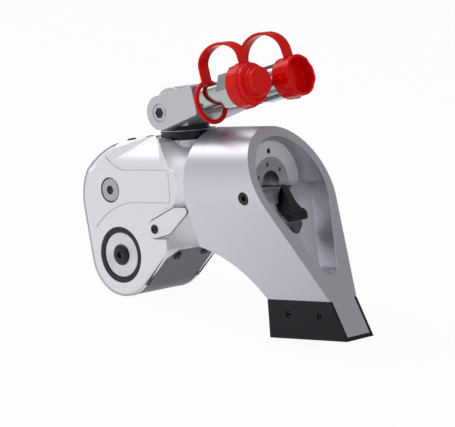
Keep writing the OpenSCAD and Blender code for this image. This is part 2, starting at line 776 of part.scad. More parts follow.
module lock_spring() color("#b9bcc2") stand()
  translate([lock_at.x, lock_slot_half - 0.55, lock_at.y]) rotate([90, 0, 0])
    coil(lock_pin_r + 1.1, 0.45, 2, 0.9);

// The lock lever from the side: hook, neck, hub and thumb pad
module lock_side() {
  polygon(belt([[lock_at.x, lock_at.y, 6.2], [lock_at.x + 10.5, lock_at.y - 14, 4.2]]));
  polygon(belt([[lock_at.x - 2, lock_at.y + 1.6, 3.2], [barrel_end - 6.5, cyl_z - 4.2, 2.6]]));
  polygon(belt([[barrel_end - 5.6, cyl_z - hook_drop, hook_r], [barrel_end - 5.6, cyl_z - 5, 1.8]]));
  polygon(belt([
    [lock_at.x + 10, lock_at.y - 15, 2.6], [lock_at.x + 15.5, lock_at.y - 20, 2.6],
    [lock_at.x + 15, lock_at.y - 15, 2.2]
  ]));
}

// The lock lever from behind: narrow at the hook and hub, then flared out to the thumb pad
function lock_flare() = [
  for (s = [1, -1], k = [0:6])
    let (t = s > 0 ? k / 6 : 1 - k / 6)
    [s * (lock_half + (pad_half - lock_half) * t * t), lock_at.y - 4 - 12 * t]
];

module lock_lever() color("#1e2228") stand() difference() {
  intersection() {
    along_y(-pad_half, pad_half) lock_side();
    along_x(0, far_out) polygon(concat(
      [[-lock_half, far_out], [lock_half, far_out]], [for (k = [0:6]) lock_flare()[k]],
      [[pad_half, -far_out], [-pad_half, -far_out]], [for (k = [7:13]) lock_flare()[k]]
    ));
  }
  y_rod(lock_at, -far_out, far_out, lock_pin_r + fit);
}

// Swivel

module swivel_base() color("#23272d") stand() difference() {
  union() {
    z_rod(flange_z - flange_t, flange_z, flange_r);
    z_rod(collar_z, flange_z - 3, collar_r);
    z_rod(spigot_z, collar_z + 0.1, spigot_r);
    z_rod(flange_z - 0.1, pedestal_z, post_w / 2 - 0.2);
  }
  for (z = swivel_seal_zs) z_rod_groove(z, 1.8, spigot_r, spigot_r - 1.6);
  z_rod_groove(swivel_ring_z - 0.1, 1.7, spigot_r, spigot_r - 1.2);
}

module swivel_seals() color("#202020") stand() for (z = swivel_seal_zs) intersection() {
  z_rod_groove(z + 0.1, 1.6, spigot_r, spigot_r - 1.5);
  z_rod(z - 1, z + 4, spigot_r - 0.02);
}

module swivel_ring() color("#8d9096") stand() difference() {
  z_rod(swivel_ring_z, swivel_ring_z + 1.5, spigot_r + 2.2);
  z_rod(swivel_ring_z - 1, swivel_ring_z + 3, spigot_r - 1.1);
  translate([swivel_x + 6, -2, swivel_ring_z - 1]) cube([20, 4, 4]);
}

module swivel_post() color("#b2b4b9") stand() difference() {
  intersection() {
    y_rod([swivel_x, pivot_z], -post_w / 2, post_w / 2, post_r);
    translate([swivel_x - 50, -50, pedestal_z]) cube([100, 100, 100]);
  }
  y_rod([swivel_x, pivot_z], -far_out, -4, bolt_r - 0.02);
  y_rod([swivel_x, pivot_z], 4, far_out, bolt_r - 0.02);
}

module pivot_bolts() color("#c8cacf") stand() for (s = [0, 1]) mirror([0, s, 0])
  translate([swivel_x, -block_w / 2 + bolt_head_t, pivot_z]) rotate([90, 0, 0]) difference() {
    union() {
      cylinder(h = bolt_head_t, r = bolt_head_r);
      translate([0, 0, -block_w / 2 + bolt_head_t + 8])
        cylinder(h = block_w / 2 - bolt_head_t - 7.9, r = bolt_r - 0.04);
    }
    translate([0, 0, 1]) hex_socket(7, 10);
  }

module swivel_block() color("#b4b5ba") stand() difference() {
  block_frame() difference() {
    along_y(-block_w / 2, block_w / 2) polygon(belt([
      [0, 0, block_r], [block_len - 3, -7.8, 3], [block_len - 3, 10.8, 3]
    ]));
    y_rod([0, 0], -cheek_in, cheek_in, post_r + gap + 0.3);
  }
  y_rod([swivel_x, pivot_z], -far_out, far_out, bolt_r + fit - 0.04);
  for (s = [0, 1]) mirror([0, s, 0])
    y_rod([swivel_x, pivot_z], -far_out, -block_w / 2 + bolt_head_t + 0.2, bolt_head_r + fit);
  for (s = [-1, 1]) coupler_frame(s) translate([0, 0, block_len - 9]) cylinder(h = 30, r = 8);
}

// Couplers, each along +Z of its own frame

module coupler_neck() {
  translate([0, 0, block_len - 8.9]) cylinder(h = 9.5, r = 7.98);
  translate([0, 0, block_len]) cylinder(h = hex_u - block_len + 0.1, r = neck_r);
}

module coupler_near() color("#c6c9cd") stand() coupler_frame(-1) difference() {
  union() {
    coupler_neck();
    translate([0, 0, hex_u]) rotate(30) hex_socket(hex_af, hex_len);
    translate([0, 0, near_body_u - 0.1]) cylinder(h = near_tip_u - near_body_u + 0.1, r = near_body_r);
    translate([0, 0, near_tip_u - 0.1]) cylinder(h = near_tip_len, r = near_tip_r);
  }
  translate([0, 0, near_tip_u - 12]) cylinder(h = 40, r = 6);
}

module coupler_far() color("#c6c9cd") stand() coupler_frame(1) difference() {
  union() {
    coupler_neck();
    translate([0, 0, hex_u]) rotate(30) hex_socket(hex_af, sleeve_u - hex_u - gap);
    translate([0, 0, sleeve_u - 1]) cylinder(h = sleeve_len + 1, r = far_body_r);
    translate([0, 0, sleeve_u + sleeve_len - 0.1]) cylinder(h = gap + 0.2, r = far_body_r);
    translate([0, 0, sleeve_u + sleeve_len + gap]) cylinder(h = far_lip, r = far_body_r + 1);
  }
  translate([0, 0, sleeve_u + sleeve_len - 14]) cylinder(h = 40, r = 8);
}

module sleeve_far() color("#d3d5d8") stand() coupler_frame(1) translate([0, 0, sleeve_u])
  ring(sleeve_r, far_body_r + fit, sleeve_len);

module cap_ribs(r, u0, u1) for (i = [0:ribs - 1]) rotate(i * 360 / ribs)
  translate([r - 1, -1.5, u0]) cube([1 + rib_h, 3, u1 - u0]);

module cap_near() color("#d01414") stand() coupler_frame(-1) difference() {
  union() {
    translate([0, 0, near_cap_u]) cylinder(h = near_collar_u - near_cap_u, r = near_cap_r);
    cap_ribs(near_cap_r, near_cap_u + 1, near_collar_u - 2);
    translate([0, 0, near_collar_u - 0.1]) cylinder(h = near_boss_u - near_collar_u + 0.1, r = near_collar_r);
    translate([0, 0, near_boss_u - 0.1]) cylinder(h = near_cap_end - near_boss_u + 0.1, r = near_boss_r);
  }
  translate([0, 0, near_cap_u - 1]) cylinder(h = near_tip_u - near_cap_u + 1 + gap, r = near_body_r + gap);
  translate([0, 0, near_tip_u]) cylinder(h = near_tip_len + gap, r = near_tip_r + gap);
}

module cap_far() color("#d01414") stand() coupler_frame(1) difference() {
  union() {
    translate([0, 0, far_cap_u]) cylinder(h = far_cap_len, r = far_cap_r);
    cap_ribs(far_cap_r, far_cap_u + 1, far_cap_u + far_cap_len - 11);
  }
  translate([0, 0, far_cap_u - 1]) cylinder(h = far_skirt + 1, r = sleeve_r + gap);
  translate([0, 0, far_cap_u + far_skirt + far_wall]) cylinder(h = far_cap_len, r = far_hollow_r);
}

// A strap: a ring on the coupler's neck and a band that arches over to the cap
module strap(u0, u1, r_in, band, drop, r_end) {
  edge = strap_t / 2;
  foot = r_end + gap;
  arch = [(u0 + u1) / 2, foot];
  half = (u1 - u0) / 2;
  root = r_in + band / 2 - drop;
  translate([drop, 0, u0 - ring_t / 2]) ring(r_in + band, r_in, ring_t);
  rotate([0, -90, 0]) along_y(-strap_w / 2, strap_w / 2) polygon(concat(
    arc(arch, half + edge, 0, 180, 24), [[u0 - edge, root], [u0 + edge, root]],
    arc(arch, half - edge, 180, 0, 24)
  ));
}

module strap_near() color("#d01414") stand() coupler_frame(-1)
  strap(ring_u, near_collar_u + 1.5, ring_r, ring_band, ring_drop, near_collar_r);
module strap_far() color("#d01414") stand() coupler_frame(1)
  strap(far_ring_u, far_cap_u + 9, far_ring_r, far_ring_band, 0, far_cap_r);

housing();
shroud();
shroud_screws();
drive_bush_near();
drive_bush_far();
pin_access_plug();
rod_bush();
rod_seal();
gland_nut();
gland_seal();
grub_screw();
piston();
piston_seal();
piston_rod();
rod_pin();
drive_plate_near();
drive_plate_far();
plate_tie_pin();
drive_segment();
segment_pin();
segment_springs();
ratchet();
square_drive();
drive_retainer();
retainer_screw();
pawl();
pawl_shaft();
release_lever();
lever_screw();
pawl_spring();
reaction_arm();
reaction_boot();
boot_screws();
lock_pin();
lock_spring();
lock_lever();
swivel_base();
swivel_post();
swivel_seals();
swivel_ring();
pivot_bolts();
swivel_block();
coupler_near();
coupler_far();
sleeve_far();
cap_near();
cap_far();
strap_near();
strap_far();
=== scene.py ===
# %% [markdown]
# # A hydraulic torque wrench, dressed in Blender
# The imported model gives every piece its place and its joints. This lesson loads it as a fixed frame,
# then gives each piece the rounded edges, the small details and the finish of the real tool.

# %% Load the frame
import json
import math

import bmesh
import bpy
from mathutils import Matrix, Vector


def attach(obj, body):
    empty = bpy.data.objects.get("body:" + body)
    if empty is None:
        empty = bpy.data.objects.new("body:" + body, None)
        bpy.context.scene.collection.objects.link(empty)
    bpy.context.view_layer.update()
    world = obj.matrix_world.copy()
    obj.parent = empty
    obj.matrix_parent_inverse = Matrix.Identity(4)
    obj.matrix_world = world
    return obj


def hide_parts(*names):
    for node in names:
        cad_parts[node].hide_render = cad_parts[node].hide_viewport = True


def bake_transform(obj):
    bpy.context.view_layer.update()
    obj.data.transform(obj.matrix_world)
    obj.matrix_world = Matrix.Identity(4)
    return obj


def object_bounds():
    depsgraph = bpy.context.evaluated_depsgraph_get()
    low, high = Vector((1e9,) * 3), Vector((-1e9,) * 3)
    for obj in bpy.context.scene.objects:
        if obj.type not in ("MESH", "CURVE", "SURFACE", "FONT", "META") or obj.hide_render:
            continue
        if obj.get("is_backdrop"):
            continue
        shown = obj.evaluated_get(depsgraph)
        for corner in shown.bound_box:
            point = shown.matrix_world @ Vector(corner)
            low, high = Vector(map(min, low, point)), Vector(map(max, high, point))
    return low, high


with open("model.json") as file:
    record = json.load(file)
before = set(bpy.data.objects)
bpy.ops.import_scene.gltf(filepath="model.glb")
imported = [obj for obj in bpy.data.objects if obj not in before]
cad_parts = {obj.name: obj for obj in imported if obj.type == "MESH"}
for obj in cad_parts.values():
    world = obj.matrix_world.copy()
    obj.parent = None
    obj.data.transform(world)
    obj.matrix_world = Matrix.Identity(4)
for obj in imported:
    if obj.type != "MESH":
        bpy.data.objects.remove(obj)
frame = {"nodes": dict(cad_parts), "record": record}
cad_low, cad_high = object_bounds()
SLOT_OF = {s["node"]: s["material_slot"] for s in frame["record"]["subparts"]}
BODY_OF = {n: b for b, members in frame["record"]["behaviour"]["bodies"].items() for n in members}
print("frame loaded:", len(frame["nodes"]), "nodes")

# %% [markdown]
# ## The tool's own axes
# The tool stands on its nose and the front edge of its foot, so it leans back a little. Measuring is easier
# square to the tool: millimetres, with the drive axis along Y through the origin, the cylinder along X and
# the swivel on top. One matrix takes those numbers to the frame, a second one the tilted coupler block, and
# two functions give a spot on the near side and the axis of a coupler, both with Z pointing straight out.

# %% Working frames
HEAD_HALF = 34.0
SHOULDER_Y = 35.5
CYL_Z = 57.0
SWIVEL_X = 56.0
PIVOT_Z = 118.0
COUPLER_Y = 21.0
COUPLER_RISE = 1.5
STAND = math.atan2(66, 145) - math.asin(35 / math.hypot(145, 66))
TILT = math.radians(11.9)
TOOL = Matrix.Rotation(-STAND, 4, "Y") @ Matrix.Scale(0.001, 4) @ Matrix.Translation((0, -SHOULDER_Y, 0))
BLOCK = TOOL @ Matrix.Translation((SWIVEL_X, 0, PIVOT_Z)) @ Matrix.Rotation(-TILT, 4, "Y")
TO_TOOL = TOOL.inverted()


def near_side(x, z, y=-HEAD_HALF):
    return TOOL @ Matrix.Translation((x, y, z)) @ Matrix.Rotation(math.radians(90), 4, "X")


def coupler(side):
    return BLOCK @ Matrix.Translation((0, side * COUPLER_Y, COUPLER_RISE)) @ Matrix.Rotation(math.radians(90), 4, "Y")


print("the tool leans back by", round(math.degrees(STAND), 2), "degrees")


# %% [markdown]
# ## Colours and shader nodes
# Colours are written as the sRGB hex values that a picture shows, and one function makes them linear.
# One small function adds any shader node with its settings and links.

# %% Two small helpers for materials
def linear(hex_colour):
    parts = [int(hex_colour[i : i + 2], 16) / 255 for i in (1, 3, 5)]
    return tuple(c / 12.92 if c <= 0.04045 else ((c + 0.055) / 1.055) ** 2.4 for c in parts) + (1.0,)


def add(tree, kind, links=(), **settings):
    made = tree.nodes.new(kind)
    for key, value in settings.items():
        if key in made.inputs:
            made.inputs[key].default_value = value
        else:
            setattr(made, key, value)
    for socket, source in links:
        tree.links.new(source, made.inputs[socket])
    return made


def finish(name, colour, **principled):
    made = bpy.data.materials.new(name)
    made.use_nodes = True
    shader = made.node_tree.nodes["Principled BSDF"]
    shader.inputs["Base Color"].default_value = linear(colour)
    for key, value in principled.items():
        shader.inputs[key.replace("_", " ")].default_value = value
    return made, made.node_tree, shader


print("white is", linear("#ffffff"))

# %% [markdown]
# ## Bead-blasted aluminium
# The head is cast and blasted with fine beads, so it is pale and satin, with a very fine grain. The beads leave
# dimples of about 0.2 mm, drawn at 0.6 mm so that they show. Cloudy patches change the gloss a little.

# %% Bead-blasted aluminium
blasted, tree, shader = finish("bead_blasted_aluminium", "#eaeaf0", Metallic=0.6, Roughness=0.5)
place = add(tree, "ShaderNodeTexCoord")
dimples = add(tree, "ShaderNodeTexNoise", [("Vector", place.outputs["Object"])], Scale=1 / 0.0006, Detail=2.0)
clouds = add(tree, "ShaderNodeTexNoise", [("Vector", place.outputs["Object"])], Scale=1 / 0.03, Detail=3.0)
gloss = add(tree, "ShaderNodeMapRange", [("Value", clouds.outputs["Fac"])])
gloss.inputs["To Min"].default_value = 0.45
gloss.inputs["To Max"].default_value = 0.55
tree.links.new(gloss.outputs["Result"], shader.inputs["Roughness"])
grain = add(tree, "ShaderNodeBump", [("Height", dimples.outputs["Fac"])], Strength=0.06, Distance=0.0002)
tree.links.new(grain.outputs["Normal"], shader.inputs["Normal"])

# %% [markdown]
# ## Brushed aluminium
# The arm is milled from bar and brushed along its length. Brushing leaves fine streaks, here 0.6 mm wide and
# 25 mm long, which spread the highlights across the streaks.

# %% Brushed aluminium
brushed, tree, shader = finish("brushed_aluminium", "#d3d4dc", Metallic=1.0, Roughness=0.38)
place = add(tree, "ShaderNodeTexCoord")
turn = add(tree, "ShaderNodeMapping", [("Vector", place.outputs["Object"])])
turn.inputs["Rotation"].default_value = (0, STAND, 0)
turn.inputs["Scale"].default_value = (1 / 0.025, 1 / 0.0006, 1 / 0.0006)
streaks = add(tree, "ShaderNodeTexNoise", [("Vector", turn.outputs["Vector"])], Scale=1.0, Detail=3.0)
gloss = add(tree, "ShaderNodeMapRange", [("Value", streaks.outputs["Fac"])])
gloss.inputs["To Min"].default_value = 0.32
gloss.inputs["To Max"].default_value = 0.44
tree.links.new(gloss.outputs["Result"], shader.inputs["Roughness"])
lines = add(tree, "ShaderNodeBump", [("Height", streaks.outputs["Fac"])], Strength=0.03, Distance=0.0002)
tree.links.new(lines.outputs["Normal"], shader.inputs["Normal"])


# %% [markdown]
# ## Plain finishes with their own grain
# The other metals, the paint and the plastic differ in colour, gloss and grain size, so one table holds them.
# Each grain is the size of the real texture: blasting, phosphate crystals, turning marks or moulding bloom.

# %% The table of finishes
def grained(name, colour, grain_mm, bump, spread, **principled):
    made, tree, shader = finish(name, colour, **principled)
    place = add(tree, "ShaderNodeTexCoord")
    dots = add(tree, "ShaderNodeTexNoise", [("Vector", place.outputs["Object"])], Scale=1000 / grain_mm, Detail=3.0)
    gloss = add(tree, "ShaderNodeMapRange", [("Value", dots.outputs["Fac"])])
    gloss.inputs["To Min"].default_value = max(0.02, principled["Roughness"] - spread)
    gloss.inputs["To Max"].default_value = principled["Roughness"] + spread
    tree.links.new(gloss.outputs["Result"], shader.inputs["Roughness"])
    rough = add(tree, "ShaderNodeBump", [("Height", dots.outputs["Fac"])], Strength=bump, Distance=0.0002)
    tree.links.new(rough.outputs["Normal"], shader.inputs["Normal"])
    return made


# Some of these finishes also colour painted light: black oxide the shade in sockets, rubber the shade in seams, grey
# paint the shade round the panels, turned steel the highlight on the flange.
FINISHES = {
    "satin_aluminium": blasted,
    "brushed_aluminium": brushed,
    "shroud_grey": grained("satin_grey_paint_and_panel_shade", "#565b62", 0.8, 0.05, 0.05, Roughness=0.40),
    "black_oxide": grained("black_oxide_steel_and_socket_shade", "#111419", 0.6, 0.05, 0.05, Roughness=0.32, Specular_IOR_Level=0.4),
    "zinc_plate": grained("bright_zinc_plate", "#b6baba", 6.0, 0.02, 0.05, Metallic=1.0, Roughness=0.14),
    "hardened_steel": grained("ground_steel", "#aeb1b6", 0.9, 0.05, 0.06, Metallic=1.0, Roughness=0.34),
    "retainer_steel": grained("fine_turned_steel_and_flange_highlight", "#dcdce3", 0.7, 0.05, 0.05, Metallic=1.0, Roughness=0.36),
    "spring_steel": grained("drawn_spring_wire", "#b5b8be", 0.8, 0.03, 0.05, Metallic=1.0, Roughness=0.28),
    "bush_bronze": grained("bearing_bronze", "#b08d4a", 0.8, 0.04, 0.05, Metallic=1.0, Roughness=0.35),
    "seal_rubber": grained("nitrile_rubber_and_seam_shade", "#1b1c1d", 0.5, 0.05, 0.05, Roughness=0.6),
    "boot_black": grained("satin_black_paint", "#0d1219", 0.9, 0.05, 0.05, Roughness=0.45, Specular_IOR_Level=0.3),
    "swivel_grey": grained("matte_blasted_aluminium", "#d0d0d6", 0.7, 0.08, 0.05, Metallic=1.0, Roughness=0.55),
    "red_pvc": grained("glossy_red_pvc", "#da0605", 1.2, 0.02, 0.03, Roughness=0.16, Specular_IOR_Level=0.2),
}
for name, part in frame["nodes"].items():
    part.data.materials.clear()
    part.data.materials.append(FINISHES[SLOT_OF[name]])
print("finishes:", len(FINISHES))


# %% [markdown]
# ## Pieces
# Every dressed piece is a mesh that rides on one body of the frame, takes the finish of its slot, and stands
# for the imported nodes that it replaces. Smooth shading stops at edges sharper than the given angle. Normals are
# weighted by the size of the faces, so that a flat face stays flat up to its rounded edges.

# %% Make a piece from a mesh
def piece(name, bm, body, slot, nodes=(), smooth=35, rides=True):
    mesh = bpy.data.meshes.new(name)
    bm.to_mesh(mesh)
    bm.free()
    mesh.materials.append(FINISHES[slot])
    made = bpy.data.objects.new(name, mesh)
    bpy.context.scene.collection.objects.link(made)
    mesh.polygons.foreach_set("use_smooth", [True] * len(mesh.polygons))
    mesh.set_sharp_from_angle(angle=math.radians(smooth))
    made.modifiers.new("weighted", "WEIGHTED_NORMAL").keep_sharp = True
    made.data = bpy.data.meshes.new_from_object(made.evaluated_get(bpy.context.evaluated_depsgraph_get()))
    made.modifiers.clear()
    bpy.data.meshes.remove(mesh)
    made.data.name = name
    if rides:
        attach(made, body)
    if nodes:
        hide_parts(*nodes)
    return made


# %% [markdown]
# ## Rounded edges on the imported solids
# Nothing that was cast, milled or moulded has a knife edge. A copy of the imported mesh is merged, its flat
# triangles are joined into whole faces, and its sharp edges are bevelled, so that they catch the light.

# %% Copy, merge and bevel
def merged(node):
    bm = bmesh.new()
    bm.from_mesh(frame["nodes"][node].data)
    bmesh.ops.remove_doubles(bm, verts=bm.verts, dist=2e-6)
    bmesh.ops.dissolve_limit(bm, angle_limit=math.radians(0.5), verts=bm.verts, edges=bm.edges)
    return bm


def sharp(bm, angle=30, test=None):
    limit = math.radians(angle)
    found = [e for e in bm.edges if len(e.link_faces) == 2 and e.calc_face_angle(0) > limit]
    return [e for e in found if test is None or test(e)]


def bevel(bm, edges, width, segments=3, clamp=True):
    bmesh.ops.bevel(
        bm, geom=edges, offset=width / 1000, offset_type="OFFSET", affect="EDGES", segments=segments, profile=0.5,
        material=-1, clamp_overlap=clamp,
    )


def middle(edge):
    return TO_TOOL @ ((edge.verts[0].co + edge.verts[1].co) / 2)


def softened(node, width, segments=2, angle=30, test=None):
    bm = merged(node)
    bevel(bm, sharp(bm, angle, test), width, segments)
    return piece(node + "_dressed", bm, BODY_OF[node], SLOT_OF[node], [node])


EDGES = {
    "shroud": 0.5, "drive_bush_near": 0.4, "drive_bush_far": 0.4, "gland_nut": 0.4, "square_drive": 0.8,
    "release_lever": 0.6, "reaction_boot": 0.8, "lock_lever": 0.8, "swivel_base": 0.4,
    "swivel_post": 0.8, "swivel_block": 0.8, "coupler_near": 0.5, "coupler_far": 0.4, "sleeve_far": 0.5,
}
for node, width in EDGES.items():
    made = softened(node, width)
    print(made.name, len(made.data.polygons), "faces")

# %% [markdown]
# ## The head
# The casting has a wide round along the outline of each side, from the seam under the nose to the top. An edge is
# on that outline when it touches the belt round the four circles of the head, seen along its own outward
# normal. Those edges get the wide round, and the other outer edges a small one. The spline teeth and the
# rooms inside keep their edges.

# %% The head's rounds
HEAD_ROUNDS = [((0, 0), 35), ((48, 6), 6), ((48, 94), 6), ((7, 46), 48)]
BARREL_R = 33.6


def on_outline(edge):
    normals = sorted(((TO_TOOL.to_3x3() @ f.normal).normalized() for f in edge.link_faces), key=lambda n: abs(n.y))
    out, wall = normals
    at = middle(edge)
    reach = max(c[0] * out.x + c[1] * out.z + r for c, r in HEAD_ROUNDS)
    return abs(out.y) < 0.2 and abs(wall.y) > 0.9 and abs(at.x * out.x + at.z * out.z - reach) < 0.3 and at.x < 30 and at.z < 93


def outside(edge):
    at = middle(edge)
    from_axis = math.hypot(at.y, at.z - CYL_Z)
    if at.x > 60:
        return from_axis > BARREL_R + 3.5 or at.x < 90
    return abs(at.y) > 27.5 or at.z > 90


bm = merged("housing")
wide = [e for e in sharp(bm, 40) if on_outline(e)]
bevel(bm, wide, 5.0, 5, clamp=False)
print("wide rounds on", len(wide), "edges")
bevel(bm, sharp(bm, 40, lambda e: outside(e) and e.calc_length() > 0.0004), 0.4, 2)
made = piece("housing_dressed", bm, BODY_OF["housing"], SLOT_OF["housing"], ["housing"])
print(made.name, len(made.data.polygons), "faces")

# %% [markdown]
# ## The arm
# The arm's edges are broken with a file, wider than those of the small pieces. Its spline stays sharp.

# %% The arm's edges
def off_spline(edge):
    at = middle(edge)
    return math.hypot(at.y, at.z - CYL_Z) > BARREL_R + 3.2 or at.x > 144


made = softened("reaction_arm", 0.9, 3, 30, off_spline)
print(made.name, len(made.data.polygons), "faces")


# %% [markdown]
# ## Turned shapes
# Screws, discs and caps are bodies of revolution: a profile of radius and height is spun once round, and its
# corners are eased first with a small curve. A socket is spun as a round hole, then its wall is pulled to a hexagon.

# %% Spin a profile
def eased(points, radius, steps=3):
    out = [Vector(points[0])]
    for a, b, c in zip(points, points[1:], points[2:]):
        a, b, c = Vector(a), Vector(b), Vector(c)
        start = b + (a - b).normalized() * min(radius, (a - b).length / 2.1)
        end = b + (c - b).normalized() * min(radius, (c - b).length / 2.1)
        for k in range(steps + 1):
            t = k / steps
            out.append(start * (1 - t) ** 2 + b * 2 * t * (1 - t) + end * t * t)
    return out + [Vector(points[-1])]


def spun(profile, steps=72):
    bm = bmesh.new()
    line = [bm.verts.new((p[0], 0, p[1])) for p in profile]
    edges = [bm.edges.new(pair) for pair in zip(line, line[1:])]
    bmesh.ops.spin(
        bm, geom=line + edges, cent=(0, 0, 0), axis=(0, 0, 1), dvec=(0, 0, 0), angle=math.tau, steps=steps,
        use_merge=True, use_duplicate=False,
    )
    bmesh.ops.remove_doubles(bm, verts=bm.verts, dist=1e-4)
    bmesh.ops.recalc_face_normals(bm, faces=bm.faces)
    return bm


def placed(bm, place):
    bmesh.ops.transform(bm, matrix=place, verts=bm.verts)
    return bm


def socket_screw(head, across, pit, shank, steps=72):
    hole = across / 2
    top = head[0][1]
    bm = spun(eased([(0, top - pit), (hole, top - pit), (hole, top)] + head, 0.15, 2) + shank, steps)
    for v in bm.verts:
        if abs(math.hypot(v.co.x, v.co.y) - hole) < 0.3 and v.co.z > top - pit - 0.1:
            turn = math.atan2(v.co.y, v.co.x) % math.radians(60) - math.radians(30)
            v.co.x, v.co.y = v.co.x / math.cos(turn), v.co.y / math.cos(turn)
    return bm


def joined(bms):
    whole = bms[0]
    for other in bms[1:]:
        mesh = bpy.data.meshes.new("part")
        other.to_mesh(mesh)
        other.free()
        whole.from_mesh(mesh)
        bpy.data.meshes.remove(mesh)
    return whole


print("a turned ring has", len(spun([(2, 0), (3, 0), (3, 1)]).faces), "faces")

# %% [markdown]
# ## Screws, plug and drive disc
# The screws are turned and their sockets pressed in, so a domed head, a socket and a shank are one profile. The
# dark floor of a bright screw's socket is a separate black hexagon, painted shade for the shadow deep in the socket.

# %% The drive's disc and its domed screw
rings = [(10.0 + 1.5 * k + d, -0.8 - h) for k in range(6) for d, h in ((0, 0), (0.25, 0.15), (0.5, 0))]
disc = [(5.1, -4.0), (5.1, -0.8)] + rings + [(18.5, -0.8), (19.1, -1.3), (19.1, -4.0), (5.1, -4.0)]
made = piece(
    "drive_retainer_dressed", placed(spun(disc, 96), near_side(0, 0)), BODY_OF["drive_retainer"], "retainer_steel",
    ["drive_retainer"], 25,
)
dome = [(4.5, 1.75), (6.4, 1.45), (7.8, 0.85), (8.7, 0.05), (9.0, -0.8)]
stem = [(5.0, -0.8), (5.0, -20.8), (0, -20.8)]
made = piece(
    "retainer_screw_dressed", placed(socket_screw([(3.3, 1.75)] + dome, 5.2, 2.2, stem), near_side(0, 0)),
    BODY_OF["retainer_screw"], "black_oxide", ["retainer_screw"],
)
print(made.name, len(made.data.polygons), "faces")

# %% The plug over the rod pin
PLUG_AT = (-6.66, 54.5)
PLUG_R = 10.0
flat = [(4.4, 0.3), (9.2, 0.3), (PLUG_R, -0.4)]
plug = placed(socket_screw(flat, 7.0, 5.0, [(PLUG_R, -9.5), (0, -9.5)]), near_side(*PLUG_AT))
piece("pin_access_plug_dressed", plug, BODY_OF["pin_access_plug"], SLOT_OF["pin_access_plug"], ["pin_access_plug"])


# Painted shade: a black hexagon at the floor of a socket stands in for the shadow deep inside it.
def painted_socket_shade(name, across, depth, top, place, body):
    bm = bmesh.new()
    bmesh.ops.create_cone(
        bm, cap_ends=True, segments=6, radius1=across / math.sqrt(3) * 0.98, radius2=across / math.sqrt(3) * 0.98,
        depth=depth, matrix=Matrix.Translation((0, 0, top - depth / 2)) @ Matrix.Rotation(math.radians(30), 4, "Z"),
    )
    return piece(name, placed(bm, place), body, "black_oxide")


# Painted shade on the floor of the plug's socket.
made = painted_socket_shade("plug_socket_shade", 7.0, 3.6, -0.6, near_side(*PLUG_AT), BODY_OF["pin_access_plug"])
print(made.name, len(made.data.polygons), "faces")

# %% The pivot bolts
BLOCK_HALF = 33.0
bolt_head = [(5.0, 0.0), (6.8, 0.0), (7.4, -0.6), (7.4, -5.0)]
bolt_shank = [(5.96, -5.0), (5.96, -25.0), (0, -25.0)]
bolts = []
for side in (-1, 1):
    place = TOOL @ Matrix.Scale(-side, 4, (0, 1, 0)) @ TO_TOOL @ near_side(SWIVEL_X, PIVOT_Z, -BLOCK_HALF)
    bolt = placed(socket_screw(bolt_head, 8.0, 4.0, bolt_shank), place)
    bmesh.ops.recalc_face_normals(bolt, faces=bolt.faces)
    bolts.append(bolt)
    # Painted shade on the floor of each bolt's socket.
    painted_socket_shade(f"pivot_socket_shade_{side}", 8.0, 3.0, -0.6, place, BODY_OF["pivot_bolts"])
made = piece("pivot_bolts_dressed", joined(bolts), BODY_OF["pivot_bolts"], "zinc_plate", ["pivot_bolts"])
print(made.name, len(made.data.polygons), "faces")

# %% The button screws of the shroud and the release lever
PAWL_AT = (43.0, 22.4)
LEVER_FACE = -HEAD_HALF + 2.8 - 0.3 - 4.0
button = [(1.9, 1.4), (2.8, 1.25), (3.6, 0.8), (4.0, 0.0)]
screw = placed(socket_screw(button, 2.5, 0.9, [(2.0, 0.0), (2.0, -9.0), (0, -9.0)], 48), near_side(*PAWL_AT, LEVER_FACE))
piece("lever_screw_dressed", screw, BODY_OF["lever_screw"], "black_oxide", ["lever_screw"])


def tangent(a, b):
    (ax, ay), ar = a
    (bx, by), br = b
    return math.atan2(by - ay, bx - ax) - math.acos((ar - br) / math.hypot(bx - ax, by - ay))


def square_to(angle, x, y, z):
    return TOOL @ Matrix.Translation((x, y, z)) @ Matrix.Rotation(math.radians(90) - angle, 4, "Y")


rear = tangent(HEAD_ROUNDS[0], HEAD_ROUNDS[1])
top = tangent(HEAD_ROUNDS[2], HEAD_ROUNDS[3])
rear_x = 48 + 6 * math.cos(rear) + 5 * math.sin(rear)
rear_z = 6 + 6 * math.sin(rear) - 5 * math.cos(rear)
button = [(2.0, 2.2), (3.0, 2.0), (3.8, 1.3), (4.2, 0.0)]
stem = [(2.0, 0.0), (2.0, -7.5), (0, -7.5)]
screws = []
for y, angle, x, z in (
    (16.5, rear, rear_x, rear_z), (11, top, 7 + 48 * math.cos(top), 46 + 48 * math.sin(top)),
):
    for s in (-1, 1):
        screws.append(placed(socket_screw(button, 2.5, 1.4, stem, 48), square_to(angle, x, s * y, z)))
made = piece("shroud_screws_dressed", joined(screws), BODY_OF["shroud_screws"], "black_oxide", ["shroud_screws"])
print(made.name, len(made.data.polygons), "faces")

# %% The lock pin's head
LOCK_AT = (153.0, 49.6)
head = [(2.8, 0.0), (4.7, 0.0), (5.28, -0.6), (5.28, -4.9)]
pin = socket_screw(head, 4.0, 3.0, [(2.98, -4.9), (2.98, -74.8), (0, -74.8)], 48)
made = piece(
    "lock_pin_dressed", placed(pin, near_side(*LOCK_AT, -45)), BODY_OF["lock_pin"], "black_oxide", ["lock_pin"]
)
print(made.name, len(made.data.polygons), "faces")

# %% [markdown]
# ## The raised panels on the head
# Each side of the casting has a panel, a fraction of a millimetre high, that ends behind in a square corner, runs
# below in an arc over the drive and follows the round of the brow in front. It bends over with the bevel
# along the top. Only the outline is drawn, from arcs, split into faces where the panel bends or goes round the plug.
# A thin dark cord round the rim, where it is clear of the brow, is painted shade along the panel's edge.

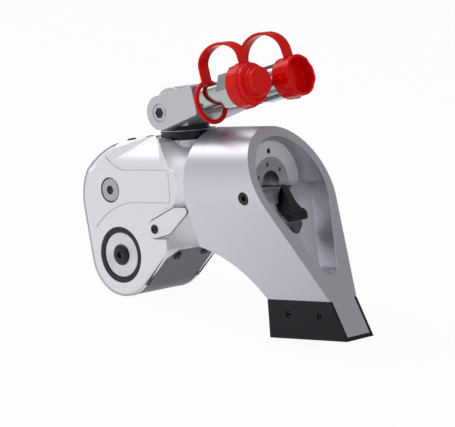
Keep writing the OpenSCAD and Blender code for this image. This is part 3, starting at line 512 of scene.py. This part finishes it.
# %% Trace edges with a thin cord
def traced(edges, r, shift=(0, 0, 0)):
    bm = bmesh.new()
    for e in edges:
        a, b = (v.co + Vector(shift) for v in e.verts)
        turn = (b - a).to_track_quat("Z", "Y").to_matrix().to_4x4()
        bmesh.ops.create_cone(
            bm, cap_ends=True, segments=6, radius1=r, radius2=r, depth=(b - a).length,
            matrix=Matrix.Translation((a + b) / 2) @ turn,
        )
    return bm


print("a cord has", 6, "sides")

# %% The side panels
PANEL_H = 0.35
BEVEL_Z = 71.0
BEVEL_LEAN = 0.4


def arc(centre, r, start, stop, steps):
    turns = [math.radians(start + (stop - start) * k / steps) for k in range(steps + 1)]
    return [(centre[0] + r * math.cos(a), centre[1] + r * math.sin(a)) for a in turns]


def panel(side):
    split = PLUG_AT[1]
    brow, brow_r = (7, 46), 42
    at_split = 180 - math.degrees(math.asin((split - brow[1]) / brow_r))
    at_bend = 180 - math.degrees(math.asin((BEVEL_Z - brow[1]) / brow_r))
    hole_r = PLUG_R + 0.7 if side < 0 else 0.5
    below = arc((22.9, -22.8), 67.3, 91, 137, 12) + arc(brow, brow_r, 210, at_split, 6)
    below += arc(PLUG_AT, hole_r, 180, 360, 16) + [(61.5, split), (61.5, 46), (60, 44.5)]
    above = arc(PLUG_AT, hole_r, 180, 0, 16) + [(61.5, split), (61.5, BEVEL_Z - 1), (60.5, BEVEL_Z), (10, BEVEL_Z)]
    above += arc(brow, brow_r, at_bend, at_split, 4)
    crest = arc(brow, brow_r, at_bend, 120, 4) + arc((22.3, 127.8), 58.1, 231.4, 257.8, 6)[1:-1] + [(10, BEVEL_Z)]
    bm = bmesh.new()
    for outline in (below, above, crest):
        ring = []
        for x, z in outline:
            y = side * (HEAD_HALF + PANEL_H - max(0, z - BEVEL_Z) * BEVEL_LEAN)
            ring.append(bm.verts.new((x, y, z)))
        bm.faces.new(ring)
    bmesh.ops.remove_doubles(bm, verts=bm.verts, dist=0.02)
    bmesh.ops.recalc_face_normals(bm, faces=bm.faces)
    if bm.faces[0].normal.y * side < 0:
        bmesh.ops.reverse_faces(bm, faces=bm.faces)
    rim = [e for e in bm.edges if len(e.link_faces) == 1]
    clear = [e for e in rim if min(math.hypot(v.co.x - brow[0], v.co.z - brow[1]) for v in e.verts) < brow_r - 0.3]
    # Painted shade: a thin dark cord along the rim, clear of the brow.
    line = traced(clear, 0.3, (0, -side * PANEL_H, 0))
    back = bmesh.ops.extrude_face_region(bm, geom=bm.faces[:], use_keep_orig=True)["geom"]
    bmesh.ops.translate(bm, verts=[v for v in back if isinstance(v, bmesh.types.BMVert)], vec=(0, -side * 1.5, 0))
    bevel_mm = [e for e in rim if e.is_valid and len(e.link_faces) == 2]
    bmesh.ops.bevel(
        bm, geom=bevel_mm, offset=0.3, offset_type="OFFSET", affect="EDGES", segments=2, profile=0.5, material=-1,
        clamp_overlap=True,
    )
    bmesh.ops.recalc_face_normals(bm, faces=bm.faces)
    return placed(bm, TOOL), placed(line, TOOL)


for side, name in ((-1, "near_panel"), (1, "far_panel")):
    raised, line = panel(side)
    # The panel's dark cord is painted shade along its edge.
    piece(name + "_shade_line", line, BODY_OF["housing"], "shroud_grey")
    made = piece(name, raised, BODY_OF["housing"], "satin_aluminium", (), 30)
    print(made.name, len(made.data.polygons), "faces")

# %% [markdown]
# ## Shaded seams
# The gaps round the shroud and the release lever fall into shade and read as dark lines. A thin dark cord
# along their edges is painted shade. The shroud's edges are those of its outer skin, which lies on the
# belt round the head, and the lever's are those of its flat face, drawn where it passes the head.

# %% The painted shade in the seams
def on_skin(edge):
    at = middle(edge)
    for face in edge.link_faces:
        out = (TO_TOOL.to_3x3() @ face.normal).normalized()
        reach = max(c[0] * out.x + c[1] * out.z + r for c, r in HEAD_ROUNDS)
        if abs(out.y) < 0.2 and abs(at.x * out.x + at.z * out.z - reach) < 0.3:
            return True
    return False


bm = merged("shroud")
skin = sharp(bm, 40, on_skin)
made = piece("shroud_seam_shade", traced(skin, 0.00025), BODY_OF["shroud"], "seal_rubber")
print(made.name, len(skin), "edges")
bm.free()
bm = merged("release_lever")
face = [e for e in sharp(bm, 60) if abs(middle(e).y - LEVER_FACE) < 0.1]
made = piece("release_lever_seam_shade", traced(face, 0.00045, (0, 0.0016, 0)), BODY_OF["release_lever"], "seal_rubber")
print(made.name, len(face), "edges")
bm.free()
# A thin dark ring round the plug is painted shade in its gap.
ring = placed(spun(eased([(9.9, 0.1), (10.6, 0.1), (10.6, -1.0), (9.9, -1.0), (9.9, 0.1)], 0.1, 2)), near_side(*PLUG_AT))
made = piece("plug_seam_shade", ring, BODY_OF["pin_access_plug"], "seal_rubber")
print(made.name, len(made.data.polygons), "faces")

# %% [markdown]
# ## The painted highlight on the swivel's flange
# The flange is black, and a thin ring of bright steel round its corner is a painted highlight along its edge.

# %% The flange's painted highlight
line = eased([(22.4, 102.04), (23.05, 102.04), (23.05, 101.6), (22.4, 101.6), (22.4, 102.04)], 0.15)
made = piece(
    "swivel_flange_highlight", placed(spun(line, 96), TOOL @ Matrix.Translation((SWIVEL_X, 0, 0))), BODY_OF["swivel_base"],
    "retainer_steel",
)
print(made.name, len(made.data.polygons), "faces")

# %% [markdown]
# ## The dust caps
# The caps are dipped red PVC, so all their corners are soft. The near one is a ribbed ring with a collar and a
# boss. The far one is a plain cup, open behind, whose rim was cut by hand and isn't quite even. Both are turned
# profiles: ribs are a ripple in the radius, and the uneven rim a slow wave along the axis.

# %% Ribs and caps
RIBS = 12
RIB_H = 0.9


def ribbed(bm, r, u0, u1):
    for v in bm.verts:
        far = math.hypot(v.co.x, v.co.y)
        if far > r and u0 < v.co.z < u1:
            lift = max(0.0, math.cos(RIBS * math.atan2(v.co.y, v.co.x))) ** 2 * RIB_H
            v.co.x, v.co.y = v.co.x * (1 + lift / far), v.co.y * (1 + lift / far)
    return bm


near_cap = [
    (13.5, 92.2), (13.5, 82.5), (18, 82.5), (18, 95), (16.5, 95.4), (16.5, 99), (12.6, 99.4), (11.5, 101), (11.5, 107),
    (0, 107),
]
inside = [(0, 100.3), (10.3, 100.3), (10.3, 92.2), (13.5, 92.2)]
bm = ribbed(spun(inside + eased(near_cap, 1.2, 4), 144), 17, 83.6, 93.9)
made = piece("cap_near_dressed", placed(bm, coupler(-1)), BODY_OF["cap_near"], "red_pvc", ["cap_near"], 50)
print(made.name, len(made.data.polygons), "faces")

far_cap = [
    (0, 99.2), (15.1, 99.2), (15.1, 95), (17.3, 95), (17.2, 104), (16.9, 112), (14.5, 112), (14.6, 101.7), (0, 101.6),
]
bm = spun(eased(far_cap, 0.9, 4), 144)
for v in bm.verts:
    if v.co.z > 110.5:
        turn = math.atan2(v.co.y, v.co.x)
        v.co.z += 0.35 * math.sin(5 * turn + 0.6) + 0.25 * math.sin(11 * turn) - 0.3
bm = ribbed(bm, 16, 95.9, 104.5)
made = piece("cap_far_dressed", placed(bm, coupler(1)), BODY_OF["cap_far"], "red_pvc", ["cap_far"], 50)
print(made.name, len(made.data.polygons), "faces")

# %% [markdown]
# ## The straps
# Each cap hangs on a strap of the same PVC: a ring on the coupler's neck and a flat band that arches over to the
# cap. The band is a rounded section swept along its arch. It is fixed in place and rides on no body.

# %% Sweep a band and add its ring
STRAP_W = 11.0
STRAP_T = 2.5
RING_T = 3.0


def rounded_box(t, w, r):
    corners = [(t / 2 - r, w / 2 - r, 0), (r - t / 2, w / 2 - r, 90), (r - t / 2, r - w / 2, 180), (t / 2 - r, r - w / 2, 270)]
    return [p for x, y, a in corners for p in arc((x, y), r, a, a + 90, 3)]


def swept(path, section):
    bm = bmesh.new()
    rings = []
    for i, here in enumerate(path):
        along = (path[min(i + 1, len(path) - 1)] - path[max(i - 1, 0)]).normalized()
        out = Vector((-along.y, along.x))
        spots = [(here + out * s, y) for s, y in section]
        rings.append([bm.verts.new((-at.y, y, at.x)) for at, y in spots])
    for a, b in zip(rings, rings[1:]):
        for k in range(len(section)):
            m = (k + 1) % len(section)
            bm.faces.new((a[k], a[m], b[m], b[k]))
    bm.faces.new(rings[0])
    bm.faces.new(rings[-1])
    bmesh.ops.recalc_face_normals(bm, faces=bm.faces)
    return bm


def strap(name, side, cap, ring_u, ring_r, band, drop, legs, shoulder, rise, foot):
    left, right = legs
    root = Vector((ring_u, ring_r + band / 2 - drop))
    arch = [Vector(((left + right) / 2 + (right - left) / 2 * x, shoulder + rise * y)) for x, y in arc((0, 0), 1, 180, 0, 40)]
    leg = [root + (arch[0] - root) * Vector((k / 6, k / 6)) for k in range(6)]
    strip = swept(leg + arch + [Vector((right + 0.6, foot))], rounded_box(STRAP_T, STRAP_W, 0.9))
    half = RING_T / 2
    loop = [(ring_r + band / 2, ring_u - half), (ring_r + band, ring_u - half), (ring_r + band, ring_u + half)]
    loop += [(ring_r, ring_u + half), (ring_r, ring_u - half), (ring_r + band / 2, ring_u - half)]
    ring = placed(spun(eased(loop, 1.1, 4), 96), Matrix.Translation((drop, 0, 0)))
    made = piece(name + "_dressed", placed(joined([strip, ring]), coupler(side)), None, "red_pvc", [name], 50, False)
    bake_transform(made)
    return made


for args in (
    ("strap_near", -1, "near_cap", 48, 14.4, 3.8, 4.5, (48, 91.5), 23.5, 14.8, 17.6),
    ("strap_far", 1, "far_cap", 60, 9.9, 3.2, 0, (54, 102), 21.5, 20.0, 16.9),
):
    made = strap(*args)
    print(made.name, len(made.data.polygons), "faces")

# %% [markdown]
# ## Floor, light and camera
# The tool stands on a white paper sweep. Metal shows what stands round it, so the studio matters as much as the
# finish: the paper is bright at the left and in front and falls off behind on the right, the room above it is
# dim, and a large softbox hangs at the upper left. The camera sees plain white paper.

# %% Floor
bm = bmesh.new()
bmesh.ops.create_grid(bm, x_segments=1, y_segments=1, size=6.0)
bmesh.ops.translate(bm, verts=bm.verts, vec=(0, 0, cad_low.z))
mesh = bpy.data.meshes.new("floor")
bm.to_mesh(mesh)
bm.free()
floor = bpy.data.objects.new("floor", mesh)
bpy.context.scene.collection.objects.link(floor)
floor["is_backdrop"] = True
paper, tree, shader = finish("white_paper_sweep", "#f4f4f5", Roughness=0.9)
path = add(tree, "ShaderNodeLightPath")
place = add(tree, "ShaderNodeTexCoord")
across = add(tree, "ShaderNodeVectorMath", [(0, place.outputs["Object"])], operation="DOT_PRODUCT")
across.inputs[1].default_value = (1, 0, 0)
fall = add(tree, "ShaderNodeMapRange", [("Value", across.outputs["Value"])])
for key, value in (("From Min", 0.0), ("From Max", 0.45), ("To Min", 0.95), ("To Max", 0.2)):
    fall.inputs[key].default_value = value
bright = add(tree, "ShaderNodeMath", [(0, fall.outputs["Result"]), (1, path.outputs["Is Camera Ray"])], operation="MAXIMUM")
seen = add(tree, "ShaderNodeMath", [(0, path.outputs["Is Camera Ray"]), (1, path.outputs["Is Glossy Ray"])], operation="MAXIMUM")
share = add(tree, "ShaderNodeMath", [(0, seen.outputs["Value"])], operation="MULTIPLY")
share.inputs[1].default_value = 0.95
glow = add(tree, "ShaderNodeEmission", [("Strength", bright.outputs["Value"])], Color=(1, 1, 1, 1))
mix = add(tree, "ShaderNodeMixShader", [(0, share.outputs["Value"]), (1, shader.outputs[0]), (2, glow.outputs[0])])
tree.links.new(mix.outputs[0], tree.nodes["Material Output"].inputs["Surface"])
floor.data.materials.append(paper)

# %% Light
world = bpy.data.worlds.new("studio")
bpy.context.scene.world = world
world.use_nodes = True
tree = world.node_tree
path = add(tree, "ShaderNodeLightPath")
place = add(tree, "ShaderNodeTexCoord")


def toward(direction, low, high, weak, strong):
    lean = add(tree, "ShaderNodeVectorMath", [(0, place.outputs["Generated"])], operation="DOT_PRODUCT")
    lean.inputs[1].default_value = Vector(direction).normalized()
    level = add(tree, "ShaderNodeMapRange", [("Value", lean.outputs["Value"])], interpolation_type="SMOOTHSTEP")
    for key, value in (("From Min", low), ("From Max", high), ("To Min", weak), ("To Max", strong)):
        level.inputs[key].default_value = value
    return level.outputs["Result"]


room = toward((-0.5, 0.85, 0.15), 0.3, 0.95, 0.46, 0.14)
glossy = room
for direction, low, high, strong in (
    ((-0.68, 0.08, 0.73), 0.84, 0.97, 2.4), ((-0.68, -0.73, 0.05), 0.88, 0.98, 0.38), ((-0.2, -0.5, 0.85), 0.85, 0.98, 0.95),
    ((0.68, 0.73, -0.02), 0.9, 0.99, -0.3),
):
    box = toward(direction, low, high, 0.0, strong)
    glossy = add(tree, "ShaderNodeMath", [(0, glossy), (1, box)], operation="ADD").outputs["Value"]
direct = add(tree, "ShaderNodeMath", [(0, path.outputs["Is Camera Ray"]), (1, path.outputs["Is Transmission Ray"])], operation="MAXIMUM")
around = add(tree, "ShaderNodeMix", [("Factor", path.outputs["Is Glossy Ray"]), ("B", glossy)], data_type="FLOAT", A=0.55)
level = add(tree, "ShaderNodeMath", [(0, direct.outputs["Value"]), (1, around.outputs["Result"])], operation="MAXIMUM")
tree.links.new(level.outputs["Value"], tree.nodes["Background"].inputs["Strength"])
tree.nodes["Background"].inputs["Color"].default_value = (1, 1, 1, 1)


def softbox(name, where, at, size, watts):
    lamp = bpy.data.lights.new(name, "AREA")
    lamp.shape = "RECTANGLE"
    lamp.size, lamp.size_y = size
    lamp.energy = watts
    made = bpy.data.objects.new(name, lamp)
    bpy.context.scene.collection.objects.link(made)
    made.location = where
    made.rotation_euler = (Vector(at) - Vector(where)).to_track_quat("-Z", "Y").to_euler()
    made.visible_glossy = False


softbox("key", (-0.75, -0.55, 0.95), (0.08, -0.04, 0.06), (0.8, 0.6), 6.0)
softbox("side", (1.1, -0.5, 0.7), (0.08, -0.04, 0.06), (0.5, 0.8), 1.5)

# %% Camera
azimuth, elevation, roll = (math.radians(v) for v in (42.83, 5.57, 4.19))
back = Vector((math.sin(azimuth) * math.cos(elevation), -math.cos(azimuth) * math.cos(elevation), math.sin(elevation)))
level_right = Vector((math.cos(azimuth), math.sin(azimuth), 0))
level_up = back.cross(level_right)
right = level_right * math.cos(roll) - level_up * math.sin(roll)
up = back.cross(right)
turned = Matrix.Rotation(-STAND, 3, "Y")
axes = Matrix([turned @ right, turned @ up, turned @ back]).transposed()
camera = bpy.data.objects.new("camera", bpy.data.cameras.new("camera"))
bpy.context.scene.collection.objects.link(camera)
camera.matrix_world = Matrix.Translation(TOOL @ (Vector((93.0, 0, 31.8)) + back * 2048)) @ axes.to_4x4()
camera.data.sensor_width = 36
camera.data.lens = 2500 / 455 * 36
bpy.context.scene.camera = camera
bpy.context.scene.view_settings.view_transform = "Standard"

# %% Sizes
low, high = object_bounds()
